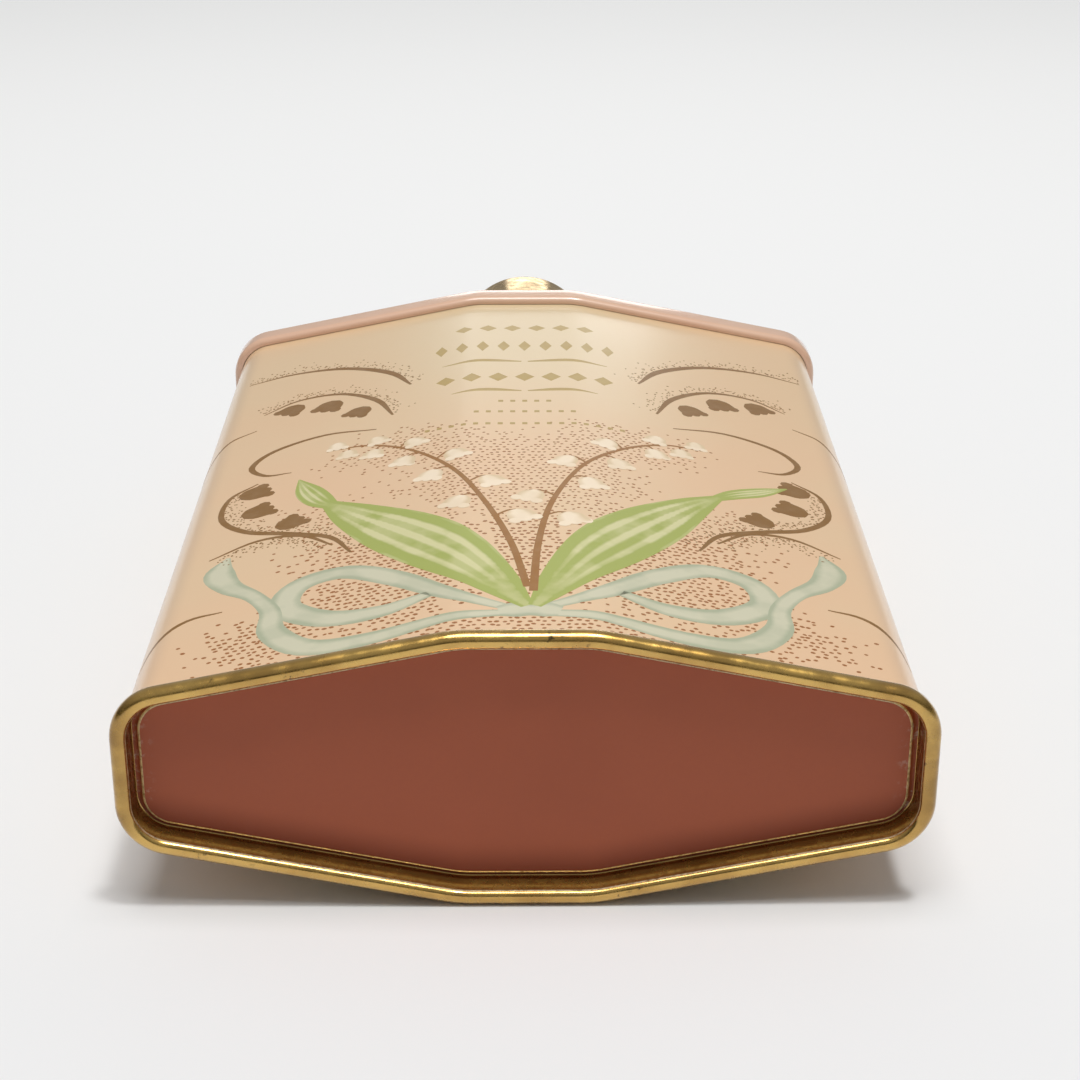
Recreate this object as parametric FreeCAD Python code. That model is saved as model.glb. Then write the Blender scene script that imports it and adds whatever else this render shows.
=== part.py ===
"""Talcum powder tin: a flat, eight-sided tinplate tin with a turning sifter cap.

Every piece is built standing on its base, with the tin's axis on Z and its decorated
front towards -Y. Levels are heights above the base. At the end the tin is laid on its
back, with its axis along +Y and its front facing up, and centred over the origin.
"""

import FreeCAD, Part
import math
import os
from FreeCAD import Vector

# --- sheet metal ---------------------------------------------------------------------
SHEET = 0.27                 # tinplate thickness
SEAM_GAP = 0.07              # free space between two layers of a seam
FIT_GAP = 0.03               # free space between two pieces pressed together

# --- body wall, sizes of its outer face ----------------------------------------------
BODY_WIDTH = 78.0
BODY_DEPTH = 28.0
BODY_LENGTH = 108.0          # base of the tin to the top of the shoulder's roll
FACE_WIDTH = 13.4            # flat strip down the middle of the front and the back
END_HEIGHT = 14.8            # narrow end of the section, measured to its sharp corners
BEND_RADIUS = 14.0           # soft bend between the middle strip and the sloping panels
CORNER_RADIUS = 4.6          # bend round the narrow ends

# --- lock seam down one narrow end ---------------------------------------------------
LOCK_WIDTH = 3.2
LOCK_LAYERS = 2              # folded layers inside the wall
LOCK_LINE = 0.3              # width of the joint line that shows outside
LOCK_LINE_DEPTH = 0.12
LOCK_CLEAR = 5.0             # the folds stop this far short of each seam

# --- base double seam and recessed base ----------------------------------------------
SEAM_HEIGHT = 1.8
SEAM_HOOK = SEAM_HEIGHT / 2  # length of each interlocked hook
SEAM_ROUND = 0.62            # rounding of the seam's edges
SEAM_INNER_ROUND = 0.5
BASE_RECESS = 2.4            # rim of the tin to the face of the base panel
PANEL_ROUND = 0.45           # front edge of the panel, where it drops into its groove
GROOVE_DEPTH = 0.8           # groove round the panel, behind the panel's face
GROOVE_WIDTH = 0.7
GROOVE_ROUND = 0.3

# --- shoulder ------------------------------------------------------------------------
ROLL_HEIGHT = 4.3            # rolled band that grips the body's top edge
ROLL_ROUND_LOW = 0.85
ROLL_ROUND_HIGH = 1.2
ROLL_LIP = 0.9               # the roll's lower lip, turned in against the body
SHOULDER_RISE = 12.0         # top of the roll to the flat round the neck
SHOULDER_START = 0.25        # how far outside the body the slope leaves the roll
BOSS_MARGIN = 0.4            # flat ring round the collar's foot
FLANGE_EDGE_GAP = 0.2        # edge of the body's top flange to the roll
FLANGE_DROP = 1.6            # top of the roll down to that flange
COMPOUND_GAP = 0.05          # compound on the flange to the foot of the slope
COMPOUND_HEIGHT = 0.45

# --- neck collar ---------------------------------------------------------------------
COLLAR_SHEET = 0.35
NECK_RADIUS = 8.3            # outside of the collar's tube
NECK_HEIGHT = 11.0           # above the shoulder's flat
FOOT_WIDTH = 2.0             # beyond the tube
FOOT_ROUND = 0.15
CLINCH_WIDTH = 1.0           # collar turned out under the shoulder, beyond the tube
LUG_ANGLE = 12.0             # stop lug that stands up from the foot
LUG_HEIGHT = 2.9

# --- turning cap and sifter plate ----------------------------------------------------
CAP_SHEET = 0.35
CAP_SIDE_GAP = 0.55          # cap to the sifter plate's skirt
CAP_FOOT_GAP = 1.3           # collar's foot up to the cap's lower edge
CAP_ROUND = 1.3
PLATE_ROUND = 0.5
DOME_RISE = 1.9              # crown above the edge of the dome
CAP_BEAD = 0.28              # rolled lower edge of the cap, outwards
CAP_BEAD_HEIGHT = 1.1
DOME_GAP = 0.20              # sifter plate to cap
PLATE_SKIRT = 4.5
HOLE_COUNT = 6
HOLE_RADIUS = 1.1
HOLE_CIRCLE = 4.7            # radius of the circle on which the holes lie
OPEN_ANGLE = 30.0            # turn from closed to open
STOP_GAP = 0.6               # degrees left at each end of the stop notch

# --- rivet and its spring washer -----------------------------------------------------
RIVET_RADIUS = 1.2
RUNNING_GAP = 0.05           # rivet to the plate and the washer, where it turns
RIVET_HEAD_RADIUS = 2.5
RIVET_HEAD_RISE = 0.8
RIVET_TAIL_RADIUS = 2.3
RIVET_TAIL_HEIGHT = 0.5
WASHER_RADIUS = 3.3
WASHER_SHEET = 0.2
WASHER_CONE = 0.35           # height of the washer's cone
WASHER_SHANK_GAP = 0.15

# --- worked out ----------------------------------------------------------------------
SEAM_OUT = 3 * (SHEET + SEAM_GAP)                # seams stand this far out of the wall
FLANGE_REACH = SEAM_OUT - SHEET - FLANGE_EDGE_GAP
ROLL_BOTTOM = BODY_LENGTH - ROLL_HEIGHT
BOSS_TOP = BODY_LENGTH + SHOULDER_RISE
FOOT_TOP = BOSS_TOP + FIT_GAP + COLLAR_SHEET
CAP_BOTTOM = FOOT_TOP + CAP_FOOT_GAP
FOOT_RADIUS = NECK_RADIUS + FOOT_WIDTH
BOSS_RADIUS = FOOT_RADIUS + BOSS_MARGIN
PLATE_RADIUS = NECK_RADIUS + FIT_GAP + SHEET     # outside of the plate's skirt
CAP_INNER_RADIUS = PLATE_RADIUS + CAP_SIDE_GAP
CAP_RADIUS = CAP_INNER_RADIUS + CAP_SHEET
DOME_EDGE = BOSS_TOP + NECK_HEIGHT + FIT_GAP + SHEET + DOME_GAP + CAP_SHEET
TIN_HEIGHT = DOME_EDGE + DOME_RISE + RIVET_HEAD_RISE
TIN_DEPTH = BODY_DEPTH + 2 * SEAM_OUT

PARTS = "parts"
UP = Vector(0, 0, 1)


# --- the tin's section ---------------------------------------------------------------
def rounded_outline(corners, level):
    """Closed wire through (x, y, radius) corners, with an arc at each."""
    points = [Vector(x, y, level) for x, y, _ in corners]
    starts, middles, ends = [], [], []
    for i, corner in enumerate(points):
        back = (points[i - 1] - corner).normalize()
        ahead = (points[(i + 1) % len(points)] - corner).normalize()
        half_turn = (math.pi - back.getAngle(ahead)) / 2
        radius = corners[i][2]
        tangent = radius * math.tan(half_turn)
        inward = (back + ahead).normalize()
        starts.append(corner + back * tangent)
        ends.append(corner + ahead * tangent)
        middles.append(corner + inward * (radius / math.cos(half_turn) - radius))
    edges = []
    for i in range(len(points)):
        edges.append(Part.Arc(starts[i], middles[i], ends[i]).toShape())
        edges.append(Part.LineSegment(ends[i], starts[(i + 1) % len(points)]).toShape())
    return Part.Wire(edges)


def outline(out, level=0.0):
    """The body's outer outline, moved outwards by out."""
    half_width, half_depth = BODY_WIDTH / 2, BODY_DEPTH / 2
    half_face, half_end = FACE_WIDTH / 2, END_HEIGHT / 2
    slope = math.atan2(half_depth - half_end, half_width - half_face)
    x_face = half_face + out * math.tan(slope / 2)
    y_end = half_end + out * math.tan((math.pi / 2 - slope) / 2)
    x_end, y_face = half_width + out, half_depth + out
    bend, corner = BEND_RADIUS + out, CORNER_RADIUS + out
    return rounded_outline(
        [
            (x_end, y_end, corner),
            (x_face, y_face, bend),
            (-x_face, y_face, bend),
            (-x_end, y_end, corner),
            (-x_end, -y_end, corner),
            (-x_face, -y_face, bend),
            (x_face, -y_face, bend),
            (x_end, -y_end, corner),
        ],
        level,
    )


def round_outline(radius, level):
    """A circle cut into the same sixteen edges as the body's outline, for lofts."""
    face_angle = math.degrees(math.atan2(FACE_WIDTH / 2, BODY_DEPTH / 2))
    end_angle = math.degrees(math.atan2(END_HEIGHT / 2, BODY_DEPTH / 2))
    corner_angles = [end_angle, 90 - face_angle]
    corner_angles += [180 - a for a in reversed(corner_angles)]
    corner_angles += [180 + a for a in corner_angles]
    spread = 4.0
    stops = [a + side * spread for a in corner_angles for side in (-1, 1)]

    def at(angle):
        turn = math.radians(angle)
        return Vector(radius * math.cos(turn), radius * math.sin(turn), level)

    edges = []
    for i, start in enumerate(stops):
        end = stops[(i + 1) % len(stops)]
        end += 360 if end < start else 0
        edges.append(Part.Arc(at(start), at((start + end) / 2), at(end)).toShape())
    return Part.Wire(edges)


def prism(out, low, high):
    """Solid with the tin's section, from level low to level high."""
    return Part.Face(outline(out, low)).extrude(UP * (high - low))


def ring(outer, inner, low, high):
    """Prism between two outlines."""
    return prism(outer, low, high).cut(prism(inner, low, high))


def edges_at(shape, level, out):
    """The edges of shape that lie on the outline out, at that level."""
    probe = outline(out, level)
    found = []
    for edge in shape.Edges:
        middle = edge.valueAt((edge.FirstParameter + edge.LastParameter) / 2)
        flat = all(abs(v.Z - level) < 1e-4 for v in edge.Vertexes)
        if flat and abs(middle.z - level) < 1e-4:
            if probe.distToShape(Part.Vertex(middle))[0] < 1e-3:
                found.append(edge)
    return found


def fused(*shapes):
    """One clean solid from touching shapes."""
    return shapes[0].multiFuse(list(shapes[1:])).removeSplitter()


def turned(points):
    """Solid of revolution about the tin's axis; each point is (radius, level)."""
    wire = Part.makePolygon([Vector(r, 0, z) for r, z in points + points[:1]])
    return Part.Face(wire).revolve(Vector(0, 0, 0), UP, 360)


def tube(outer, inner, low, high):
    """Straight round tube on the tin's axis."""
    solid = Part.makeCylinder(outer, high - low, Vector(0, 0, low))
    return solid.cut(Part.makeCylinder(inner, high - low, Vector(0, 0, low)))


def sector(radius, start, sweep, low, high):
    """Wedge of a cylinder on the tin's axis."""
    wedge = Part.makeCylinder(radius, high - low, Vector(0, 0, low), UP, sweep)
    wedge.rotate(Vector(0, 0, 0), UP, start)
    return wedge


# --- pieces --------------------------------------------------------------------------
def body_wall():
    """Wrapped sheet with a lock seam, a hook at the base and a flange at the top."""
    bottom = SHEET + SEAM_GAP
    flange_level = BODY_LENGTH - FLANGE_DROP
    hook_in = 2 * SEAM_GAP + SHEET
    hook_out = hook_in + SHEET
    wall = ring(0, -SHEET, bottom, flange_level + SHEET)
    hook_land = ring(hook_out, -SHEET, bottom, bottom + SHEET)
    hook = ring(hook_out, hook_in, bottom, bottom + SEAM_HOOK)
    flange = ring(FLANGE_REACH, -SHEET, flange_level, flange_level + SHEET)
    body = fused(wall, hook_land, hook, flange)

    end_face = BODY_WIDTH / 2
    low, high = SEAM_HEIGHT + LOCK_CLEAR, ROLL_BOTTOM - LOCK_CLEAR
    folds = Part.makeBox(
        LOCK_LAYERS * SHEET,
        LOCK_WIDTH,
        high - low,
        Vector(end_face - SHEET - LOCK_LAYERS * SHEET, -LOCK_WIDTH / 2, low),
    )
    joint_line = Part.makeBox(
        LOCK_LINE_DEPTH,
        LOCK_LINE,
        high - low,
        Vector(end_face - LOCK_LINE_DEPTH, -LOCK_WIDTH / 2, low),
    )
    return fused(body, folds).cut(joint_line)


def base_end():
    """Recessed base with its side of the double seam rolled round the body's hook. Its panel
    stands in front of a groove, which stiffens it."""
    wall_out = -SHEET - SEAM_GAP
    wall_in = wall_out - SHEET
    panel_out = wall_in - GROOVE_WIDTH
    groove = BASE_RECESS + GROOVE_DEPTH
    panel = prism(panel_out, BASE_RECESS, BASE_RECESS + SHEET)
    step = ring(panel_out, panel_out - SHEET, BASE_RECESS, groove + SHEET)
    groove_floor = ring(wall_out, panel_out - SHEET, groove, groove + SHEET)
    wall = ring(wall_out, wall_in, 0, groove + SHEET)
    land = ring(SEAM_OUT, wall_in, 0, SHEET)
    outer = ring(SEAM_OUT, SEAM_OUT - SHEET, 0, SEAM_HEIGHT)
    turn_in = ring(SEAM_OUT, SEAM_GAP, SEAM_HEIGHT - SHEET, SEAM_HEIGHT)
    hook_top = SEAM_HEIGHT - SEAM_HOOK
    hook = ring(SEAM_GAP + SHEET, SEAM_GAP, hook_top, SEAM_HEIGHT)
    end = fused(panel, step, groove_floor, wall, land, outer, turn_in, hook)
    end = end.makeFillet(SEAM_ROUND, edges_at(end, 0, SEAM_OUT))
    end = end.makeFillet(SEAM_INNER_ROUND, edges_at(end, 0, wall_in))
    end = end.makeFillet(SEAM_ROUND, edges_at(end, SEAM_HEIGHT, SEAM_OUT))
    end = end.makeFillet(GROOVE_ROUND, edges_at(end, groove, wall_in))
    end = end.makeFillet(GROOVE_ROUND, edges_at(end, groove, panel_out))
    end = end.makeFillet(PANEL_ROUND - SHEET, edges_at(end, BASE_RECESS + SHEET, panel_out - SHEET))
    return end.makeFillet(PANEL_ROUND, edges_at(end, BASE_RECESS, panel_out))


def base_seam_compound():
    """Sealing compound in the pocket over the body's hook, inside the base seam."""
    hook_top = SHEET + SEAM_GAP + SEAM_HOOK
    turn_in = SEAM_HEIGHT - SHEET
    outer, inner = SEAM_OUT - SHEET - FIT_GAP, SEAM_GAP + SHEET + FIT_GAP
    return ring(outer, inner, hook_top + FIT_GAP, turn_in - FIT_GAP)


def shoulder_form(out, round_low, round_high, shrink):
    """Roll and slope as one solid; shrink is the inset of the slope and the boss."""
    low, high = ROLL_BOTTOM + shrink, BODY_LENGTH
    roll = prism(out, low, high)
    roll = roll.makeFillet(round_low, edges_at(roll, low, out))
    roll = roll.makeFillet(round_high, edges_at(roll, high, out))
    start = BODY_LENGTH - ROLL_ROUND_HIGH
    foot = outline(SHOULDER_START - shrink, start - shrink)
    head = round_outline(BOSS_RADIUS - shrink, BOSS_TOP - shrink)
    slope = Part.makeLoft([foot, head], True, True)
    return fused(roll, slope)


def shoulder():
    """Drawn top: a rolled band over the body's flange, and a slope up to the neck."""
    outer = shoulder_form(SEAM_OUT, ROLL_ROUND_LOW, ROLL_ROUND_HIGH, 0.0)
    inner_low = max(ROLL_ROUND_LOW - SHEET, 0.1)
    inner_high = max(ROLL_ROUND_HIGH - SHEET, 0.1)
    low, high = ROLL_BOTTOM + SHEET, BODY_LENGTH - SHEET
    cavity = prism(SEAM_OUT - SHEET, low, high)
    cavity = cavity.makeFillet(inner_low, edges_at(cavity, low, SEAM_OUT - SHEET))
    cavity = cavity.makeFillet(inner_high, edges_at(cavity, high, SEAM_OUT - SHEET))
    start = BODY_LENGTH - ROLL_ROUND_HIGH - SHEET
    foot = outline(SHOULDER_START - SHEET, start)
    head = round_outline(BOSS_RADIUS - SHEET, BOSS_TOP - SHEET)
    slope = Part.makeLoft([foot, head], True, True)
    mouth = prism(SEAM_GAP, ROLL_BOTTOM - SHEET, start)
    neck_hole = Part.makeCylinder(
        NECK_RADIUS + FIT_GAP, 4 * SHEET, Vector(0, 0, BOSS_TOP - 2 * SHEET)
    )
    lip = ring(SEAM_GAP + SHEET, SEAM_GAP, ROLL_BOTTOM, ROLL_BOTTOM + ROLL_LIP)
    shell = outer.cut(cavity).cut(slope).cut(mouth).cut(neck_hole)
    return fused(shell, lip)


def shoulder_seam_compound():
    """Sealing compound over the body's flange, inside the rolled band."""
    low = BODY_LENGTH - FLANGE_DROP + SHEET + FIT_GAP
    return ring(FLANGE_REACH, SHOULDER_START + COMPOUND_GAP, low, low + COMPOUND_HEIGHT)


def circles(shape, radius, level):
    """The full circles of that radius at that level on a straight-sided shape."""
    return [
        e for e in shape.Edges
        if isinstance(e.Curve, Part.Circle)
        and abs(e.Curve.Radius - radius) < 1e-6
        and abs(e.Curve.Center.z - level) < 1e-6
    ]


def neck_collar():
    """Collar clinched through the shoulder, with a foot and an upright stop lug."""
    bore = NECK_RADIUS - COLLAR_SHEET
    clinch_top = BOSS_TOP - SHEET - FIT_GAP
    clinch_bottom = clinch_top - COLLAR_SHEET
    neck_top = BOSS_TOP + NECK_HEIGHT
    pipe = tube(NECK_RADIUS, bore, clinch_bottom, neck_top)
    pipe = pipe.makeFillet(PLATE_ROUND - SHEET, circles(pipe, NECK_RADIUS, neck_top))
    clinch = tube(NECK_RADIUS + CLINCH_WIDTH, bore, clinch_bottom, clinch_top)
    foot = tube(FOOT_RADIUS, bore, BOSS_TOP + FIT_GAP, FOOT_TOP)
    foot = foot.makeFillet(FOOT_ROUND, circles(foot, FOOT_RADIUS, FOOT_TOP))
    lug_out = CAP_RADIUS + CAP_BEAD
    lug_in = CAP_INNER_RADIUS
    lug_root = FOOT_TOP - COLLAR_SHEET / 2
    lug = sector(lug_out, 0, LUG_ANGLE, lug_root, FOOT_TOP + LUG_HEIGHT)
    lug = lug.cut(Part.makeCylinder(lug_in, TIN_HEIGHT))
    return fused(pipe, foot, clinch, lug)


def domed_plug(radius, sphere, centre, corner, low):
    """Solid of revolution: a column with a rounded shoulder and a spherical crown."""
    shoulder_level = centre + math.sqrt((sphere - corner) ** 2 - (radius - corner) ** 2)
    reach = sphere / (sphere - corner)
    lean = math.atan2(shoulder_level - centre, radius - corner)
    crown_start = Vector(
        (radius - corner) * reach, 0, centre + (shoulder_level - centre) * reach
    )
    column_end = Vector(radius, 0, shoulder_level)
    corner_middle = Vector(
        radius - corner + corner * math.cos(lean / 2),
        0,
        shoulder_level + corner * math.sin(lean / 2),
    )
    steep = (math.pi / 2 + lean) / 2
    crown_middle = Vector(sphere * math.cos(steep), 0, centre + sphere * math.sin(steep))
    crown_top = Vector(0, 0, centre + sphere)
    bottom_out, bottom_in = Vector(radius, 0, low), Vector(0, 0, low)
    section = Part.Wire([
        Part.LineSegment(bottom_in, bottom_out).toShape(),
        Part.LineSegment(bottom_out, column_end).toShape(),
        Part.Arc(column_end, corner_middle, crown_start).toShape(),
        Part.Arc(crown_start, crown_middle, crown_top).toShape(),
        Part.LineSegment(crown_top, bottom_in).toShape(),
    ])
    return Part.Face(section).revolve(Vector(0, 0, 0), UP, 360)


def dome(edge_radius, edge_level, thickness, skirt_bottom, corner):
    """Thin domed cup; edge_level is where the crown's curve would meet the skirt."""
    sphere = (edge_radius ** 2 + DOME_RISE ** 2) / (2 * DOME_RISE)
    centre = edge_level + DOME_RISE - sphere
    outer = domed_plug(edge_radius, sphere, centre, corner, skirt_bottom)
    inner = domed_plug(
        edge_radius - thickness,
        sphere - thickness,
        centre,
        max(corner - thickness, 0.1),
        skirt_bottom,
    )
    return outer.cut(inner)


def sifting_holes(turn):
    """Drills for the ring of holes, turned round the axis by turn degrees."""
    drills = []
    for i in range(HOLE_COUNT):
        angle = math.radians(turn + i * 360 / HOLE_COUNT)
        place = Vector(
            HOLE_CIRCLE * math.cos(angle), HOLE_CIRCLE * math.sin(angle), DOME_EDGE - 4
        )
        drills.append(Part.makeCylinder(HOLE_RADIUS, 8, place))
    return drills


def sifter_plate():
    """Fixed perforated dome pressed over the collar."""
    gap = DOME_GAP + CAP_SHEET
    level = DOME_EDGE - gap
    skirt_bottom = BOSS_TOP + NECK_HEIGHT - PLATE_SKIRT
    plate = dome(PLATE_RADIUS, level, SHEET, skirt_bottom, PLATE_ROUND)
    shank = Part.makeCylinder(
        RIVET_RADIUS + RUNNING_GAP, TIN_HEIGHT, Vector(0, 0, BOSS_TOP)
    )
    for cutter in [shank] + sifting_holes(0):
        plate = plate.cut(cutter)
    return plate


def turn_cap():
    """Turning dome with its own ring of holes, a rolled edge and a stop notch."""
    cap = dome(CAP_RADIUS, DOME_EDGE, CAP_SHEET, CAP_BOTTOM, CAP_ROUND)
    bead = tube(
        CAP_RADIUS + CAP_BEAD, CAP_INNER_RADIUS, CAP_BOTTOM, CAP_BOTTOM + CAP_BEAD_HEIGHT
    )
    cap = fused(cap, bead)
    shank = Part.makeCylinder(RIVET_RADIUS, TIN_HEIGHT, Vector(0, 0, BOSS_TOP))
    notch = sector(
        CAP_RADIUS * 1.5,
        -STOP_GAP - OPEN_ANGLE,
        LUG_ANGLE + OPEN_ANGLE + 2 * STOP_GAP,
        CAP_BOTTOM - 1,
        FOOT_TOP + LUG_HEIGHT + 2 * SEAM_GAP,
    )
    for cutter in [shank, notch] + sifting_holes(OPEN_ANGLE):
        cap = cap.cut(cutter)
    return cap


def plate_under_level(radius):
    """Level of the sifter plate's underside at that radius."""
    sphere = (PLATE_RADIUS ** 2 + DOME_RISE ** 2) / (2 * DOME_RISE)
    crown = DOME_EDGE - DOME_GAP - CAP_SHEET + DOME_RISE - SHEET
    inner = sphere - SHEET
    return crown - inner + math.sqrt(inner ** 2 - radius ** 2)


def washer_top():
    """Level of the spring washer's outer edge, just under the plate."""
    return plate_under_level(WASHER_RADIUS) - FIT_GAP


def cap_rivet():
    """Rivet fixed in the cap: domed head outside, shank, and clenched tail inside."""
    crown = DOME_EDGE + DOME_RISE
    tail_top = washer_top() - WASHER_SHEET - WASHER_CONE - RUNNING_GAP
    shank = Part.makeCylinder(
        RIVET_RADIUS, crown - tail_top, Vector(0, 0, tail_top)
    )
    tail = Part.makeCylinder(
        RIVET_TAIL_RADIUS, RIVET_TAIL_HEIGHT, Vector(0, 0, tail_top - RIVET_TAIL_HEIGHT)
    )
    sphere = (RIVET_HEAD_RADIUS ** 2 + RIVET_HEAD_RISE ** 2) / (2 * RIVET_HEAD_RISE)
    ball = Part.makeSphere(sphere, Vector(0, 0, crown + RIVET_HEAD_RISE - sphere))
    head = ball.common(
        Part.makeCylinder(RIVET_HEAD_RADIUS, RIVET_HEAD_RISE, Vector(0, 0, crown))
    )
    return fused(shank, tail, head)


def friction_washer():
    """Cone spring washer between the rivet's tail and the sifter plate."""
    top = washer_top()
    bore = RIVET_RADIUS + WASHER_SHANK_GAP
    return turned([
        (bore, top - WASHER_SHEET - WASHER_CONE),
        (bore, top - WASHER_CONE),
        (WASHER_RADIUS, top),
        (WASHER_RADIUS, top - WASHER_SHEET),
    ])


PIECES = {
    "body_wall": body_wall,
    "base_end": base_end,
    "base_seam_compound": base_seam_compound,
    "shoulder": shoulder,
    "shoulder_seam_compound": shoulder_seam_compound,
    "neck_collar": neck_collar,
    "sifter_plate": sifter_plate,
    "turn_cap": turn_cap,
    "cap_rivet": cap_rivet,
    "friction_washer": friction_washer,
}


def main():
    os.makedirs(PARTS, exist_ok=True)
    laid_down = FreeCAD.Placement(
        Vector(0, -TIN_HEIGHT / 2, TIN_DEPTH / 2),
        FreeCAD.Rotation(Vector(1, 0, 0), -90),
    )
    for name, build in PIECES.items():
        shape = build()
        shape.Placement = laid_down.multiply(shape.Placement)
        shape.exportStep(os.path.join(PARTS, name + ".step"))
        box = shape.BoundBox
        print(
            f"{name}: {len(shape.Solids)} solid, valid {shape.isValid()}, "
            f"{shape.Volume:.0f} mm3, y {box.YMin:.2f} to {box.YMax:.2f}"
        )
    print(f"height {TIN_HEIGHT:.2f}, depth {TIN_DEPTH:.2f}, boss {BOSS_TOP:.2f}")


main()
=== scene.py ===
"""Looks of a talcum powder tin that lies on its back: pressed and folded tinplate, printed
and varnished, with a gold lacquered base seam and a brass sifter cap."""

import math
import random

import bmesh
import bpy
from bpy.props import FloatProperty, IntProperty, StringProperty
from mathutils import Matrix, Vector
from mathutils.geometry import interpolate_bezier


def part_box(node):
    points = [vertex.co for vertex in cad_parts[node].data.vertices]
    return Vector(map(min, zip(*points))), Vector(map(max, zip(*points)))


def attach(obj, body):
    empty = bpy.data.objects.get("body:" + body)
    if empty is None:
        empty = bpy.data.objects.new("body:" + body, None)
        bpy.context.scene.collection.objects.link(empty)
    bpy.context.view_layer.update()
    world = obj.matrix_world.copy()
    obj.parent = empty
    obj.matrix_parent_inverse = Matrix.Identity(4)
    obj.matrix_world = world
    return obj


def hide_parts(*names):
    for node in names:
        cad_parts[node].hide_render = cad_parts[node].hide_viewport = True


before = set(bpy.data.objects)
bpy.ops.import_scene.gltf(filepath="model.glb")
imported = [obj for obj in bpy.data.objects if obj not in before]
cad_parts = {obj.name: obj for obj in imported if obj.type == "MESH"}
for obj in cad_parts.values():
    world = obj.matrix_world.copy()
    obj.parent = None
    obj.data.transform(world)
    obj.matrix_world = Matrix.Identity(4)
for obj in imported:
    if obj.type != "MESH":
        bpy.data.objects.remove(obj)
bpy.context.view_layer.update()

bl_info = {
    "name": "Talcum powder tin",
    "version": (1, 0, 0),
    "blender": (4, 5, 0),
    "location": "3D View > Sidebar > Powder tin",
    "description": "Builds the printed tinplate, the seams and the cap of a powder tin",
    "category": "Object",
}

MM = 0.001
RIM_LOW, RIM_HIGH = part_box("base_end")
SHOULDER_LOW, SHOULDER_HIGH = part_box("shoulder")
CAP_LOW, CAP_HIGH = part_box("turn_cap")
RIVET_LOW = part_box("cap_rivet")[0]
BASE = RIM_LOW.y                               # plane of the base seam's rim
AXIS_HEIGHT = (RIM_LOW.z + RIM_HIGH.z) / 2     # the tin's axis above the floor


# --- settings ------------------------------------------------------------------------
def length(label, about, millimetres):
    """A length property, given in millimetres."""
    return FloatProperty(
        name=label, description=about, default=millimetres * MM, unit="LENGTH", precision=5
    )


def colour(label, about, code):
    """A colour property that holds an sRGB hex code."""
    return StringProperty(name=label, description=about, default=code)


class TinSizes(bpy.types.PropertyGroup):
    sheet: length("Sheet", "Thickness of the tinplate", 0.27)
    seam_out: length("Seam", "How far the seams stand out of the wall", 1.02)
    face_width: length("Middle strip", "Width of the flat strip front and back", 13.4)
    end_height: length("Narrow end", "Height of the section's narrow ends", 14.8)
    bend_radius: length("Soft bend", "Radius beside the middle strip", 14.0)
    corner_radius: length("Corner", "Radius at the narrow ends", 4.6)
    seam_height: length("Seam height", "Height of the base seam", 1.8)
    seam_round: length("Rim rounding", "Rounding of the rim's outer edge", 0.9)
    rim_inner_round: length("Inner rounding", "Rounding of the rim's inner edge", 0.6)
    seam_turn: length("Seam turn", "Rounding where the seam meets the body", 0.62)
    recess: length("Recess", "Rim to the base panel", 2.4)
    panel_round: length("Panel edge", "Rounding of the panel's front edge", 0.45)
    groove_depth: length("Groove", "Depth of the groove round the panel", 0.8)
    groove_width: length("Groove width", "Width of the groove round the panel", 0.7)
    groove_round: length("Groove rounding", "Rounding of the groove's floor", 0.3)
    seam_gap: length("Layer gap", "Free space between layers of a seam", 0.07)
    roll_low: length("Roll, lower edge", "Rounding of the shoulder roll's lower edge", 0.85)
    roll_high: length("Roll, upper edge", "Rounding of the shoulder roll's upper edge", 1.2)
    roll_height: length("Roll height", "Height of the shoulder's rolled band", 4.3)
    slope_start: length("Slope start", "How far outside the body the slope begins", 0.25)
    boss_radius: length("Boss", "Radius of the flat round the neck", 10.7)
    neck_hole: length("Neck hole", "Radius of the hole in the shoulder", 8.33)
    lock_seam: length("Lock seam", "Width of the folded side seam", 3.2)


class CapSizes(bpy.types.PropertyGroup):
    cap_radius: length("Cap", "Outside radius of the cap's skirt", 9.5)
    cap_sheet: length("Cap sheet", "Thickness of the cap", 0.35)
    cap_round: length("Cap rounding", "Rounding between skirt and crown", 1.3)
    crown_rise: length("Crown", "Height of the crown over its edge", 1.9)
    bead: length("Bead", "How far the rolled lower edge stands out", 0.28)
    bead_height: length("Bead height", "Height of the rolled lower edge", 1.1)
    notch_top: length("Notch", "Height of the stop notch over the cap's edge", 1.74)
    neck_radius: length("Neck", "Outside radius of the collar's tube", 8.3)
    hole_radius: length("Hole", "Radius of a sifting hole", 1.1)
    hole_circle: length("Hole circle", "Radius of the circle of holes", 4.7)
    hole_count: IntProperty(name="Holes", description="Sifting holes", default=6)
    lug_angle: FloatProperty(name="Lug", description="Stop lug, degrees", default=12.0)
    open_angle: FloatProperty(name="Turn", description="Closed to open, degrees", default=30.0)


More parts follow.
